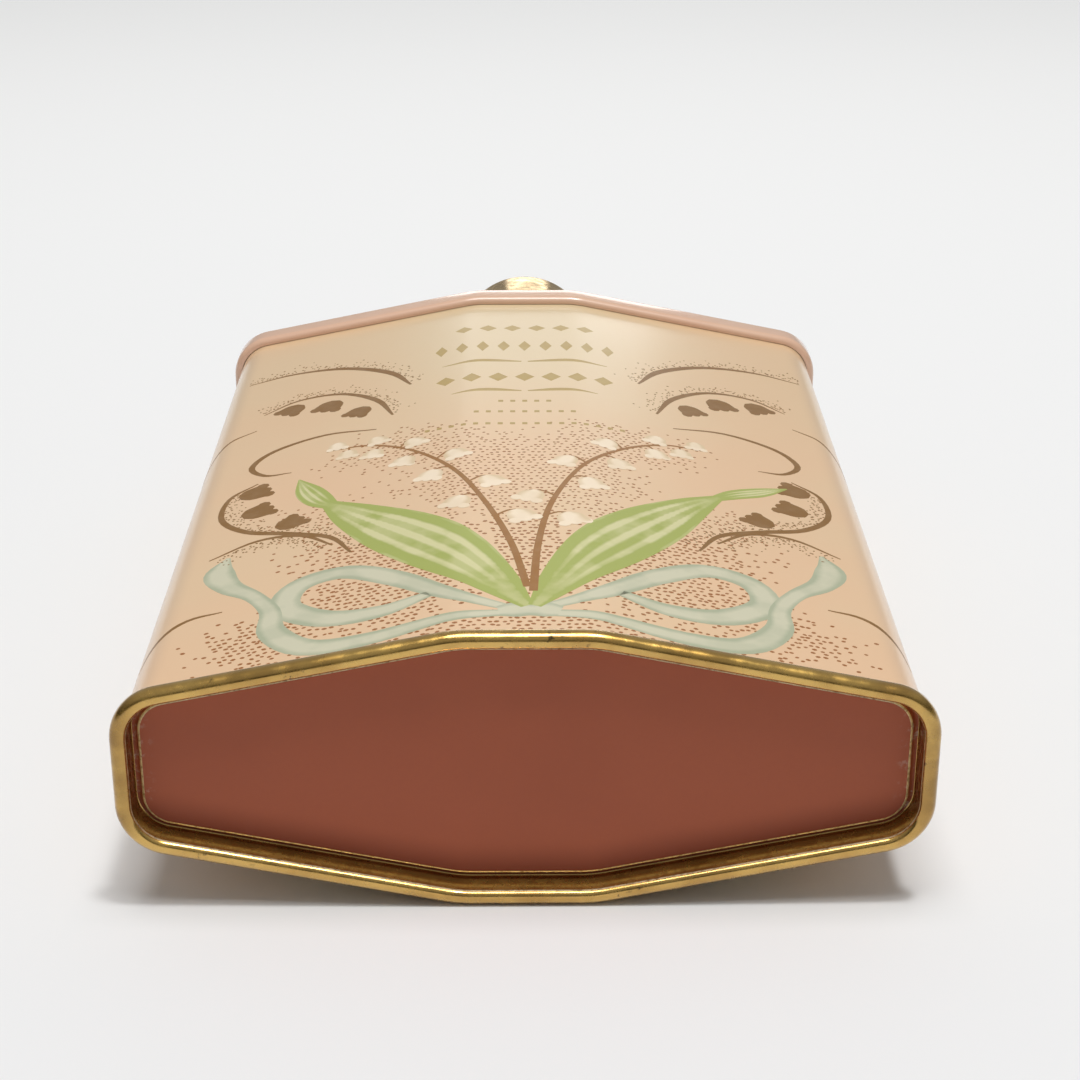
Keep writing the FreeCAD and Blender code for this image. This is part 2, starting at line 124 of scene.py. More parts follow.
class TinColours(bpy.types.PropertyGroup):
    cream: colour("Cream", "Ground down the middle of the front", "DFC8A0")
    peach: colour("Peach", "Ground of the sides", "E3C198")
    blush: colour("Blush", "Ground behind the flowers", "E7BF98")
    leaf: colour("Leaf", "Leaves", "A2AB4E")
    leaf_light: colour("Leaf vein", "Light stripes of the leaves", "D3CE98")
    bell: colour("Bell", "Flower bells", "F4E0C4")
    bell_shade: colour("Bell shade", "Edges of the flower bells", "DEC49C")
    stem: colour("Stem", "Stems of the sprays", "966000")
    scroll: colour("Scroll", "Scrolls and florets", "845800")
    panel_ink: colour("Panel ink", "Rules and lozenges", "B4964C")
    dot: colour("Dot", "Stipple", "9A5800")
    ribbon: colour("Ribbon", "Middle of the ribbon", "CECAAE")
    ribbon_shade: colour("Ribbon shade", "Edges and folds of the ribbon", "ABB092")
    panel: colour("Panel", "Terracotta enamel of the base panel", "AE5A3C")
    gold: colour("Gold", "Gold lacquer", "D8B05E")
    shoulder: colour("Pink", "Pink enamel of the shoulder", "DDB397")
    brass: colour("Brass", "Brass of the cap", "D9B776")


class StageSettings(bpy.types.PropertyGroup):
    focal_length: FloatProperty(name="Lens", description="Focal length in mm", default=74.55)
    pitch: FloatProperty(name="Pitch", description="Degrees below the horizon", default=23.87)
    yaw: FloatProperty(name="Yaw", description="Degrees to the right", default=0.416)
    back: length("Distance", "Camera to the base's plane", 188.1)
    height: length("Height", "Camera over the floor", 123.05)
    floor_colour: colour("Floor", "Pale floor", "E8E8E8")
    # painted light: the floor behind the tin is given a paler colour, as if lit more there
    floor_far_painted_light: colour("Far floor", "Pale floor behind the tin", "FDFDFC")
    room_light: FloatProperty(name="Room", description="Strength of the room's light", default=0.31)
    key_power: FloatProperty(name="Key", description="Watts of the small key lamp", default=5.6)
    overhead_power: FloatProperty(name="Overhead", description="Watts of the softbox", default=4.5)
    back_power: FloatProperty(name="Back", description="Watts of the softbox behind", default=0.75)


# --- the tin's section ---------------------------------------------------------------
BEND_STEPS, CORNER_STEPS = 6, 14


def walk_half(sizes):
    """Stations from the front's middle to the back's: (way, point, normal) along the outline."""
    half_width = RIM_HIGH.x - sizes.seam_out
    half_depth = RIM_HIGH.z - AXIS_HEIGHT - sizes.seam_out
    half_face, half_end = sizes.face_width / 2, sizes.end_height / 2
    across, down = half_width - half_face, half_depth - half_end
    slope = math.atan2(down, across)
    turn = math.pi / 2 - slope
    bend_run = sizes.bend_radius * math.tan(slope / 2)
    corner_run = sizes.corner_radius * math.tan(turn / 2)
    face = ("run", half_face - bend_run)
    side = ("run", math.hypot(across, down) - bend_run - corner_run)
    end = ("run", half_end - corner_run)
    bend = ("arc", sizes.bend_radius, slope, BEND_STEPS)
    corner = ("arc", sizes.corner_radius, turn, CORNER_STEPS)
    point, heading, way = Vector((0, half_depth)), 0.0, 0.0
    stations = [(way, point.copy(), heading)]
    for kind, size, *rest in (face, bend, side, corner, end, end, corner, side, bend, face):
        if kind == "run":
            point += size * Vector((math.cos(heading), math.sin(heading)))
            way += size
            stations.append((way, point.copy(), heading))
            continue
        angle, steps = rest
        for _ in range(steps):
            chord = 2 * size * math.sin(angle / steps / 2)
            heading -= angle / steps / 2
            point += chord * Vector((math.cos(heading), math.sin(heading)))
            heading -= angle / steps / 2
            way += chord
            stations.append((way, point.copy(), heading))
    return [(w, p, Vector((-math.sin(h), math.cos(h)))) for w, p, h in stations]


def flipped(vector):
    return Vector((-vector.x, vector.y))


class Section:
    """The body's outline seen along its axis, as the flat sheet is folded round it."""

    def __init__(self, sizes):
        right = walk_half(sizes)
        left = [(-w, flipped(p), flipped(n)) for w, p, n in reversed(right[1:])]
        self.stations = left + right
        self.half_way = right[-1][0]

    def place(self, way, along, out):
        """A point of the flat sheet, folded: way round from the front's middle, along from
        the base, and out of the sheet."""
        rows = self.stations
        if abs(way) > self.half_way:
            way -= math.copysign(2 * self.half_way, way)
        low, high = 0, len(rows) - 1
        while high - low > 1:
            middle = (low + high) // 2
            if rows[middle][0] <= way:
                low = middle
            else:
                high = middle
        (w0, p0, n0), (w1, p1, n1) = rows[low], rows[high]
        share = min(max((way - w0) / (w1 - w0), 0), 1)
        flat = p0.lerp(p1, share) + n0.lerp(n1, share) * out
        return Vector((flat.x, BASE + along, AXIS_HEIGHT + flat.y))


def arc_points(centre, radius, start, end, steps):
    """Points of an arc in a profile; angles in degrees."""
    return [
        (
            centre[0] + radius * math.cos(math.radians(start + (end - start) * i / steps)),
            centre[1] + radius * math.sin(math.radians(start + (end - start) * i / steps)),
        )
        for i in range(steps + 1)
    ]


# --- mesh helpers --------------------------------------------------------------------
SAME_POINT = 1e-7                # vertices nearer than this are one
SHARP_EDGE = math.radians(30)    # folds sharper than this show as an edge
SPIN_STEPS = 96


def placed(name, data):
    """A new object in the scene."""
    made = bpy.data.objects.new(name, data)
    bpy.context.scene.collection.objects.link(made)
    return made


def pressed(section, profile, place=None):
    """A flat grid of sheet pressed to a profile and folded round the section; place sets
    a grid point elsewhere than straight out from the wall."""
    place = place or (lambda station, point: section.place(station[0], point[1], point[0]))
    bm = bmesh.new()
    columns, rows = len(section.stations) - 1, len(profile) - 1
    bmesh.ops.create_grid(bm, x_segments=columns, y_segments=rows, size=1.0)
    row_layer = bm.faces.layers.int.new("row")
    for face in bm.faces:
        face[row_layer] = math.floor((face.calc_center_median().y + 1) / 2 * rows)
    for vertex in bm.verts:
        column = round((vertex.co.x + 1) / 2 * columns)
        row = round((vertex.co.y + 1) / 2 * rows)
        vertex.co = place(section.stations[column], profile[row])
    bmesh.ops.remove_doubles(bm, verts=bm.verts, dist=SAME_POINT)
    bmesh.ops.recalc_face_normals(bm, faces=bm.faces)
    return bm


def close_ends(bm):
    """Fills the open rings of a pressed sheet."""
    rims = [e for e in bm.edges if e.is_boundary]
    bmesh.ops.edgeloop_fill(bm, edges=rims)
    bmesh.ops.recalc_face_normals(bm, faces=bm.faces)


def spun(profile):
    """A closed profile of (radius, along) points, spun round the tin's axis."""
    bm = bmesh.new()
    corners = [bm.verts.new((r, BASE + y, AXIS_HEIGHT)) for r, y in profile]
    edges = [bm.edges.new((a, b)) for a, b in zip(corners, corners[1:] + corners[:1])]
    bmesh.ops.spin(
        bm, geom=corners + edges, cent=(0, 0, AXIS_HEIGHT), axis=(0, 1, 0),
        angle=math.tau, steps=SPIN_STEPS, use_merge=True,
    )
    bmesh.ops.remove_doubles(bm, verts=bm.verts, dist=SAME_POINT)
    bmesh.ops.recalc_face_normals(bm, faces=bm.faces)
    return bm


def make_piece(name, bm, materials, body, stands_for=()):
    """Turns a bmesh into a smooth-shaded piece that rides on a body."""
    if bm.calc_volume(signed=True) < 0:
        bmesh.ops.reverse_faces(bm, faces=bm.faces[:])
    bm.normal_update()
    for face in bm.faces:
        face.smooth = True
    for edge in bm.edges:
        edge.smooth = edge.calc_face_angle(0.0) < SHARP_EDGE
    mesh = bpy.data.meshes.new(name)
    bm.to_mesh(mesh)
    bm.free()
    piece = placed(name, mesh)
    for material in materials:
        mesh.materials.append(material)
    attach(piece, body)
    if stands_for:
        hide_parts(*stands_for)
    return piece


def refinish(node, material):
    """Gives a CAD node its finish; its shape stays."""
    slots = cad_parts[node].data.materials
    slots.clear()
    slots.append(material)


def cut_out(piece, cutter_bm):
    """Cuts a closed bmesh out of a piece for good."""
    mesh = bpy.data.meshes.new("cutter")
    bmesh.ops.recalc_face_normals(cutter_bm, faces=cutter_bm.faces)
    cutter_bm.to_mesh(mesh)
    cutter_bm.free()
    cutter = placed("cutter", mesh)
    modifier = piece.modifiers.new("cut", "BOOLEAN")
    modifier.object = cutter
    modifier.operation = "DIFFERENCE"
    modifier.solver = "EXACT"
    graph = bpy.context.evaluated_depsgraph_get()
    result = bpy.data.meshes.new_from_object(piece.evaluated_get(graph), depsgraph=graph)
    piece.modifiers.remove(modifier)
    old = piece.data
    piece.data = result
    result.name = piece.name
    bpy.data.meshes.remove(old)
    bpy.data.objects.remove(cutter)
    bpy.data.meshes.remove(mesh)


# --- materials -----------------------------------------------------------------------
MATH, RANGE, SPLIT = "ShaderNodeMath", "ShaderNodeMapRange", "ShaderNodeSeparateXYZ"
SMOOTH = {"interpolation_type": "SMOOTHSTEP"}
VARNISH = {"IOR": 1.5, "Coat_Weight": 0.6, "Coat_Roughness": 0.16, "Coat_IOR": 1.5}


def linear(code):
    """sRGB hex code to a linear colour."""
    parts = [int(code[i:i + 2], 16) / 255 for i in (0, 2, 4)]
    return [p / 12.92 if p <= 0.04045 else ((p + 0.055) / 1.055) ** 2.4 for p in parts] + [1.0]


def add(tree, kind, inputs=None, output=0, **settings):
    """Adds a node with its settings and its input values or links, and gives one output."""
    made = tree.nodes.new(kind)
    for key, value in settings.items():
        setattr(made, key, value)
    for socket, value in (inputs or {}).items():
        if isinstance(value, bpy.types.NodeSocket):
            tree.links.new(value, made.inputs[socket])
        else:
            made.inputs[socket].default_value = value
    return made.outputs[output] if made.outputs else None


def new_material(name):
    """An empty material, its tree and its Object coordinates."""
    material = bpy.data.materials.new(name)
    material.use_nodes = True
    tree = material.node_tree
    tree.nodes.clear()
    return material, tree, add(tree, "ShaderNodeTexCoord", output="Object")


def finish_material(tree, ground, layers, **sockets):
    """Lays colours over a ground, each by its share, and gives them to the shader; sockets
    are named with underscores for spaces."""
    tone = linear(ground)
    for share, code in layers:
        inputs = {0: share, 6: tone, 7: linear(code)}
        tone = add(tree, "ShaderNodeMix", inputs, 2, data_type="RGBA")
    inputs = {key.replace("_", " "): value for key, value in sockets.items()}
    shader = add(tree, "ShaderNodeBsdfPrincipled", {"Base Color": tone, **inputs})
    add(tree, "ShaderNodeOutputMaterial", {"Surface": shader})


def uneven(tree, place, size, span, values=(0.0, 1.0), detail=3.0, rough=0.5):
    """A value that wanders in patches of that size in millimetres."""
    noise = add(tree, "ShaderNodeTexNoise", {
        "Vector": place, "Scale": 1 / (size * MM), "Detail": detail, "Roughness": rough,
    })
    return add(tree, RANGE, {
        "Value": noise, "From Min": span[0], "From Max": span[1],
        "To Min": values[0], "To Max": values[1],
    }, **SMOOTH)


def relief(tree, place, size, depth, strength, detail=1.0):
    """Bumps of that size and depth in millimetres."""
    noise = add(tree, "ShaderNodeTexNoise", {
        "Vector": place, "Scale": 1 / (size * MM), "Detail": detail,
    })
    return add(tree, "ShaderNodeBump", {
        "Height": noise, "Distance": depth * MM, "Strength": strength,
    })


def split_sides(tree, place, axis="Y"):
    """Place across, distance from the middle of the width, and place along an axis."""
    across, along = (add(tree, SPLIT, {"Vector": place}, name) for name in ("X", axis))
    return across, add(tree, MATH, {0: across}, operation="ABSOLUTE"), along


def finish_print(tree, place, ground, layers, roughness=0.42):
    """Litho inks under gloss varnish, with the varnish's faint orange peel."""
    peel = relief(tree, place, 1.1, 0.012, 0.5)
    finish_material(tree, ground, layers, Roughness=roughness, Normal=peel, **VARNISH)


def printed_ground(colours):
    """Litho print on tinplate, rolled on flat and stoved, under gloss varnish: an even
    colour that drifts from cream to peach."""
    material, tree, place = new_material("litho_ground")
    _, side, along = split_sides(tree, place)
    to_peach = add(tree, RANGE, {"Value": side, "From Min": 4 * MM, "From Max": 26 * MM}, **SMOOTH)
    to_blush = add(tree, RANGE, {
        "Value": along, "From Min": BASE + 88 * MM, "From Max": BASE + 42 * MM, "To Max": 0.8,
    }, **SMOOTH)
    cloud = uneven(tree, place, 22, (0.35, 0.75), (0.0, 0.35), 2.0)
    layers = [(to_peach, colours.peach), (to_blush, colours.blush), (cloud, colours.cream)]
    scuff = uneven(tree, place, 0.5, (0.55, 0.8), (0.32, 0.5), 6.0, 0.7)
    finish_print(tree, place, colours.cream, layers, scuff)
    return material


def printed_ink(name, code):
    """Litho ink under the same varnish: the flat colour thins a little in places."""
    material, tree, place = new_material(name)
    thin = uneven(tree, place, 1.6, (0.35, 0.75), (0.0, 0.05), 4.0)
    finish_print(tree, place, code, [(thin, "F0DCBC")])
    return material


def shaded_ink(name, middle, edge, stripes):
    """Two litho inks that shade across each stroke: the edge colour at its sides, the
    middle colour inside, with fine stripes along it, as a leaf's ribs."""
    material, tree, place = new_material(name)
    stroke = add(tree, "ShaderNodeAttribute", output="Vector", attribute_name="stroke")
    across, side, along = split_sides(tree, stroke)
    share = add(tree, RANGE, {"Value": side, "From Min": 0.3, "From Max": 0.95}, **SMOOTH)
    cloud = uneven(tree, place, 5, (0.35, 0.65), (-0.25, 0.35))
    share = add(tree, MATH, {0: share, 1: cloud}, operation="ADD")
    if stripes:
        wave = add(tree, MATH, {0: across, 1: stripes * math.pi}, operation="MULTIPLY")
        ribs = add(tree, MATH, {0: wave}, operation="COSINE")
        ribs = add(tree, RANGE, {
            "Value": ribs, "From Min": -0.5, "From Max": 0.9, "To Max": 0.95,
        }, **SMOOTH)
        for start, end in ((0.08, 0.4), (0.98, 0.66)):
            fade = add(tree, RANGE, {"Value": along, "From Min": start, "From Max": end}, **SMOOTH)
            ribs = add(tree, MATH, {0: ribs, 1: fade}, operation="MULTIPLY")
        share = add(tree, MATH, {0: share, 1: 0.75}, operation="ADD")
        share = add(tree, MATH, {0: share, 1: ribs}, operation="SUBTRACT")
    share = add(tree, "ShaderNodeClamp", {"Value": share})
    finish_print(tree, place, middle, [(share, edge)])
    return material


def rubbed_lacquer_and_painted_highlight():
    """The rim's inner edge, where the seaming tool has rubbed the lacquer thin: paler and duller than the
    rest, broken by dark specks.
    The pale colour is partly a painted highlight, the light that these thin edges catch."""
    material, tree, place = new_material("rubbed_gold_lacquer_and_painted_highlight")
    speck = uneven(tree, place, 0.6, (0.45, 0.7), (0.0, 0.85), 5.0, 0.7)
    finish_material(tree, "EADBB4", [(speck, "7A5C2E")], Metallic=0.7, Roughness=0.45)
    return material


def gold_lacquer(colours):
    """Gold lacquer on bright tinplate, rolled into the seam: warm metal, browner where the
    lacquer is thick, with rubbed spots and dark chips on the crest."""
    material, tree, place = new_material("gold_lacquered_seam")
    tarnish = uneven(tree, place, 5, (0.38, 0.7), (0.0, 0.6), 4.0)
    speck = uneven(tree, place, 0.9, (0.6, 0.7), (0.0, 0.9), 5.0, 0.65)
    patch = uneven(tree, place, 9, (0.5, 0.62), (0.0, 1.0), 2.0)
    _, side, along = split_sides(tree, place)
    chip = add(tree, RANGE, {
        "Value": along, "From Min": BASE + 1.0 * MM, "From Max": BASE + 0.5 * MM,
    }, **SMOOTH)
    for part in (speck, patch):
        chip = add(tree, MATH, {0: chip, 1: part}, operation="MULTIPLY")
    # darker in patches towards the rim's narrow ends
    ends = add(tree, RANGE, {
        "Value": side, "From Min": RIM_HIGH.x - 3 * MM, "From Max": RIM_HIGH.x, "To Max": 0.75,
    }, **SMOOTH)
    darker_end_patches = uneven(tree, place, 3, (0.3, 0.6), (0.3, 1.0), 4.0)
    darker_end_patches = add(tree, MATH, {0: ends, 1: darker_end_patches}, operation="MULTIPLY")
    rough = uneven(tree, place, 1.4, (0.3, 0.75), (0.16, 0.34), 5.0)
    layers = [(tarnish, "AC8038"), (darker_end_patches, "7E5C26"), (chip, "3A2A14")]
    finish_material(
        tree, colours.gold, layers, Metallic=0.88,
        Roughness=rough, Normal=relief(tree, place, 2.2, 0.03, 0.35, 2.0), IOR=1.5,
        Coat_Weight=0.8, Coat_Roughness=0.1, Coat_IOR=1.5,
    )
    return material


def terracotta_enamel(colours, sizes):
    """Satin enamel on the base panel: matt and even, with a fine tooth, handling marks, a
    little pale powder caught in the corners of the recess, and painted shade that darkens it towards its
    lower edge."""
    material, tree, place = new_material("terracotta_enamel")
    _, side, height = split_sides(tree, place, "Z")
    corner = add(tree, RANGE, {
        "Value": side, "From Min": RIM_HIGH.x - 4.2 * MM, "From Max": RIM_HIGH.x - 2.0 * MM,
        "To Max": 0.75,
    }, **SMOOTH)
    powder = uneven(tree, place, 1.3, (0.52, 0.66), (0.0, 1.0), 8.0, 0.75)
    dusty = add(tree, MATH, {0: corner, 1: powder}, operation="MULTIPLY")
    beyond = add(tree, MATH, {0: side, 1: sizes.face_width / 2}, operation="SUBTRACT")
    beyond = add(tree, MATH, {0: beyond, 1: 0.0}, operation="MAXIMUM")
    slope = RIM_HIGH.z - AXIS_HEIGHT - sizes.seam_out - sizes.end_height / 2
    slope /= RIM_HIGH.x - sizes.seam_out - sizes.face_width / 2
    rise = add(tree, MATH, {0: beyond, 1: slope}, operation="MULTIPLY")
    over = add(tree, MATH, {0: height, 1: rise}, operation="SUBTRACT")
    # painted shade: the enamel darkens towards the panel's lower edge, standing in for the shade and dark
    # reflection under the rim
    painted_shade_low_edge = add(tree, RANGE, {
        "Value": over, "From Min": 6.4 * MM, "From Max": 2.2 * MM, "To Max": 0.7,
    }, **SMOOTH)
    tooth = uneven(tree, place, 0.5, (0.3, 0.7), (0.0, 0.16), 5.0, 0.7)
    cloud = uneven(tree, place, 14, (0.4, 0.7), (0.0, 0.22))
    layers = [(tooth, "BA6A4A"), (cloud, "9C4E34"), (painted_shade_low_edge, "6E2A16"), (dusty, "CDB5A6")]
    rough = uneven(tree, place, 0.5, (0.3, 0.7), (0.48, 0.62), 5.0, 0.7)
    finish_material(
        tree, colours.panel, layers, Roughness=rough, IOR=1.4,
        Normal=relief(tree, place, 0.5, 0.02, 0.3, 5.0),
    )
    return material


def pink_enamel(colours):
    """Gloss stoving enamel on the drawn shoulder: smooth, with slight flow marks."""
    material, tree, place = new_material("pink_stoving_enamel")
    drift = uneven(tree, place, 16, (0.35, 0.7), (0.0, 0.4), 2.0)
    finish_material(
        tree, colours.shoulder, [(drift, "E2BFA2")], Roughness=0.36, IOR=1.5,
        Normal=relief(tree, place, 1.6, 0.015, 0.5),
        Coat_Weight=0.9, Coat_Roughness=0.1, Coat_IOR=1.5,
    )
    return material


def polished_brass(name, colours, smoothest=0.12, dullest=0.3):
    """Spun brass, polished and lightly tarnished: fine turning lines, browner in patches."""
    material, tree, place = new_material(name)
    tarnish = uneven(tree, place, 3.5, (0.4, 0.72), (0.0, 0.6), 5.0)
    rough = uneven(tree, place, 1.2, (0.3, 0.7), (smoothest, dullest), 6.0)
    centred = add(tree, "ShaderNodeMapping", {"Vector": place, "Location": (0, 0, -AXIS_HEIGHT)})
    flat = add(tree, "ShaderNodeVectorMath", {0: centred, 1: (1, 0, 1)}, operation="MULTIPLY")
    radius = add(tree, "ShaderNodeVectorMath", {0: flat}, "Value", operation="LENGTH")
    level = add(tree, SPLIT, {"Vector": centred}, "Y")
    rings = add(tree, "ShaderNodeCombineXYZ", {"X": radius, "Y": level})
    finish_material(
        tree, colours.brass, [(tarnish, "9A7434")], Metallic=1.0, Roughness=rough,
        Normal=relief(tree, rings, 0.25, 0.004, 0.35, 2.0),
    )
    return material


def plain_steel():
    """Spring steel strip, blanked and left bare: dull grey with a rolled grain."""
    material, tree, place = new_material("bare_spring_steel")
    worn = uneven(tree, place, 0.8, (0.3, 0.7), (0.2, 0.8), 4.0)
    finish_material(tree, "8C8D90", [(worn, "5F5B56")], Metallic=1.0, Roughness=0.38)
    return material


def seam_rubber():
    """Sealing compound, flowed in as a liquid and dried: grey-brown and dull."""
    material, tree, place = new_material("seam_sealing_compound")
    dry = uneven(tree, place, 0.6, (0.3, 0.7), (0.2, 0.8), 4.0)
    finish_material(tree, "6A6258", [(dry, "4B453D")], Roughness=0.8)
    return material


# --- printed ornament, drawn flat in millimetres -------------------------------------
FILM = 0.02 * MM          # thickness of a film of ink, thick enough to stay a closed body
LIFT = 0.0002 * MM        # each stroke lies this much over the one before
LIFTS = 24                # strokes after which the heights start again
THINNEST = 0.02           # a stroke's least width
SEED = 11                 # of the stipple's shaken grid
INK_LEVELS = {
    "stipple": -0.014, "ribbon": -0.009, "leaves": -0.004, "stems": 0.001, "bells": 0.006,
    "scrolls": -0.009, "panel": -0.009,
}


def smooth_line(knots, pieces):
    """A smooth line through knots of (across, up, width)."""
    rows = [Vector(k) for k in knots]
    ends = [2 * rows[0] - rows[1]] + rows + [2 * rows[-1] - rows[-2]]
    line = [rows[0]]
    for before, here, there, after in zip(ends, ends[1:], ends[2:], ends[3:]):
        handles = here + (there - before) / 6, there - (after - here) / 6
        line += interpolate_bezier(here, *handles, there, pieces + 1)[1:]
    return line


def beside(line, number):
    """Unit vector to the left of a line at one of its points."""
    ahead = line[min(number + 1, len(line) - 1)] - line[max(number - 1, 0)]
    return Vector((-ahead.y, ahead.x)).normalized()


class Film:
    """One ink, drawn flat: across from the front's middle, and up from the base."""

    def __init__(self, level):
        """level is the film's height over the sheet, in millimetres."""
        self.bm = bmesh.new()
        self.stroke_layer = self.bm.verts.layers.float_vector.new("stroke")
        self.level = level * MM
        self.count = 0

    def lift(self):
        """Height of the next stroke, so that no two share a plane."""
        self.count += 1
        return self.level + (self.count % LIFTS) * LIFT

    def brush(self, *knots, pieces=5):
        """A brush stroke through knots of (across, up, width). Each point keeps where it
        is over the stroke's width and along it, for the ink's shading."""
        line, height, edge = smooth_line(knots, pieces), self.lift(), None
        for number, here in enumerate(line):
            side = beside(line, number) * max(here.z, THINNEST) / 2
            if edge is None:
                ends = [self.bm.verts.new(), self.bm.verts.new()]
                edge = self.bm.edges.new(ends)
                for end, sign in zip(ends, (-1, 1)):
                    end[self.stroke_layer] = (sign, 0, 0)
            else:
                grown = bmesh.ops.extrude_edge_only(self.bm, edges=[edge])["geom"]
                edge = next(g for g in grown if isinstance(g, bmesh.types.BMEdge))
                ends = sorted(edge.verts, key=lambda v: v[self.stroke_layer].x)
            for end, sign in zip(ends, (-1, 1)):
                flat = (here.xy + sign * side) * MM
                end.co = (flat.x, flat.y, height)
                end[self.stroke_layer] = (sign, number / (len(line) - 1), here.z)
        return line

    def dot(self, across, up, radius, sides=6, squash=1.0, turn=0.0):
        """A filled dot."""
        where = Matrix.Translation((across * MM, up * MM, self.lift()))
        shape = Matrix.Rotation(math.radians(turn), 4, "Z") @ Matrix.Diagonal((1, squash, 1, 1))
        bmesh.ops.create_circle(
            self.bm, cap_ends=True, segments=sides, radius=radius * MM, matrix=where @ shape
        )

    def bell(self, at, toward, size):
        """A flower bell that opens towards a direction, with a scalloped mouth."""
        toward = toward.normalized()
        steps = ((0.0, 0.3), (0.22, 0.78), (0.5, 0.92), (0.82, 1.02))
        knots = [(*(at + toward * size * run), size * wide) for run, wide in steps]
        self.brush(*knots, pieces=2)
        mouth = at + toward * size * 0.8
        across = Vector((-toward.y, toward.x)) * size
        for share in (-0.36, 0.0, 0.36):
            lobe = mouth + across * share
            self.dot(lobe.x, lobe.y, 0.2 * size, 8)

    def fold(self, section, turned):
        """A copy of the film, thickened and folded round the tin, bent where the sheet
        bends; turned puts it on the back."""
        bm = self.bm.copy()
        shift = section.half_way if turned else 0.0
        bmesh.ops.translate(bm, vec=(shift, 0, 0), verts=bm.verts)
        bm.normal_update()
        bmesh.ops.reverse_faces(bm, faces=[f for f in bm.faces if f.normal.z < 0])
        lowest = min(v.co.x for v in bm.verts)
        highest = max(v.co.x for v in bm.verts)
        folds = [way for way, _, _ in section.stations[:-1]]
        folds += [way + 2 * section.half_way for way in folds]
        for way in folds:
            if lowest < way < highest:
                bmesh.ops.bisect_plane(
                    bm, geom=bm.verts[:] + bm.edges[:] + bm.faces[:], dist=1e-8,
                    plane_co=(way, 0, 0), plane_no=(1, 0, 0),
                )
        under = bm.faces[:]
        raised = bmesh.ops.extrude_face_region(bm, geom=under, use_keep_orig=True)
        moved = [g for g in raised["geom"] if isinstance(g, bmesh.types.BMVert)]
        bmesh.ops.translate(bm, vec=(0, 0, FILM), verts=moved)
        for vertex in bm.verts:
            vertex.co = section.place(vertex.co.x, vertex.co.y, vertex.co.z)
        return bm


def mirrored(knots, side):
    """Knots of a stroke, mirrored to the left when side is -1."""
    return [(side * across, up, width) for across, up, width in knots]


LEFT_LEAF = (
    (0.2, 8.6, 1.4), (-3.4, 15.0, 5.6), (-8.2, 22.8, 8.8), (-13.4, 30.0, 8.8),
    (-18.6, 36.6, 5.6), (-22.0, 41.2, 2.0),
)
LEFT_CURL = ((-21.6, 40.6, 1.6), (-23.4, 43.2, 3.2), (-25.0, 46.6, 3.0), (-26.4, 50.6, 0.2))
RIGHT_LEAF = (
    (0.9, 8.6, 1.4), (4.2, 15.6, 5.4), (8.6, 23.8, 8.4), (13.6, 31.6, 8.0),
    (18.4, 38.4, 4.6), (21.8, 42.6, 1.4),
)
RIGHT_CURL = ((21.4, 42.2, 1.2), (24.0, 44.6, 2.2), (27.2, 46.8, 2.2), (30.6, 49.4, 0.2))
LEFT_STEM = (
    (0.2, 13.0, 0.8), (-1.5, 24.0, 0.75), (-4.4, 35.0, 0.65), (-8.4, 45.6, 0.55),
    (-13.4, 53.4, 0.45), (-18.6, 57.4, 0.35), (-23.2, 58.0, 0.2),
)
RIGHT_STEM = (
    (0.8, 12.0, 0.9), (1.4, 24.0, 0.75), (3.0, 35.0, 0.65), (6.4, 45.0, 0.55),
    (11.4, 52.4, 0.45), (16.6, 56.2, 0.35), (21.0, 56.6, 0.2),
)
RIBBON = (
    ((0.6, 7.6, 1.0), (7.2, 11.6, 2.2), (13.2, 17.8, 3.0), (18.8, 21.8, 3.0),
     (23.6, 20.6, 3.2), (24.6, 15.8, 3.4), (20.2, 11.4, 3.4), (14.6, 10.6, 2.8),
     (9.6, 12.6, 1.4)),
    ((0.8, 7.2, 1.2), (8.0, 6.4, 2.0), (15.6, 4.9, 2.8), (21.6, 5.6, 3.2),
     (25.4, 10.4, 3.0), (26.2, 15.6, 2.2), (28.4, 20.0, 2.0), (31.4, 23.6, 2.8),
     (33.0, 27.6, 3.4), (32.4, 31.4, 0.4)),
)
SCROLLS = (
    ((14.4, 76.2, 0.3), (17.4, 82.2, 1.0), (23.4, 87.2, 0.85), (30.4, 89.0, 0.5), (36.6, 88.0, 0.15)),
    ((16.2, 66.4, 0.3), (18.6, 72.8, 0.85), (23.4, 77.6, 0.65), (29.0, 78.2, 0.45), (33.2, 75.2, 0.15)),
    ((34.6, 31.6, 0.2), (29.6, 34.6, 0.5), (24.6, 33.8, 0.6), (20.8, 29.6, 0.25)),
    ((18.6, 26.8, 0.3), (21.2, 31.8, 0.7), (26.0, 35.0, 0.85), (31.2, 37.8, 0.85),
     (34.6, 42.6, 0.75), (34.4, 48.6, 0.55), (31.4, 51.8, 0.2)),
    ((18.0, 62.4, 0.2), (24.4, 63.8, 0.5), (30.4, 61.6, 0.7), (32.8, 57.4, 0.8),
     (30.8, 54.0, 0.55), (27.6, 53.4, 0.15)),
    ((31.4, 17.6, 0.2), (35.0, 17.0, 0.5), (38.2, 13.4, 0.45), (39.8, 9.8, 0.12)),
    ((33.6, 70.0, 0.15), (37.0, 67.6, 0.35), (40.0, 62.8, 0.35), (41.4, 58.4, 0.12)),
)
DOTTED_SCROLLS = 4        # the first scrolls of the list have fine dots along them
FLORETS = (                         # across, up, opening towards (across, up), size
    (28.6, 76.6, 0.7, -1.0, 3.6), (24.0, 75.6, 0.4, -1.0, 3.8), (19.8, 71.2, 0.6, -1.0, 3.4),
    (33.2, 48.4, -1.0, 0.35, 3.9), (32.2, 42.4, -1.0, 0.45, 3.9), (27.6, 37.0, -0.9, 0.7, 3.6),
)
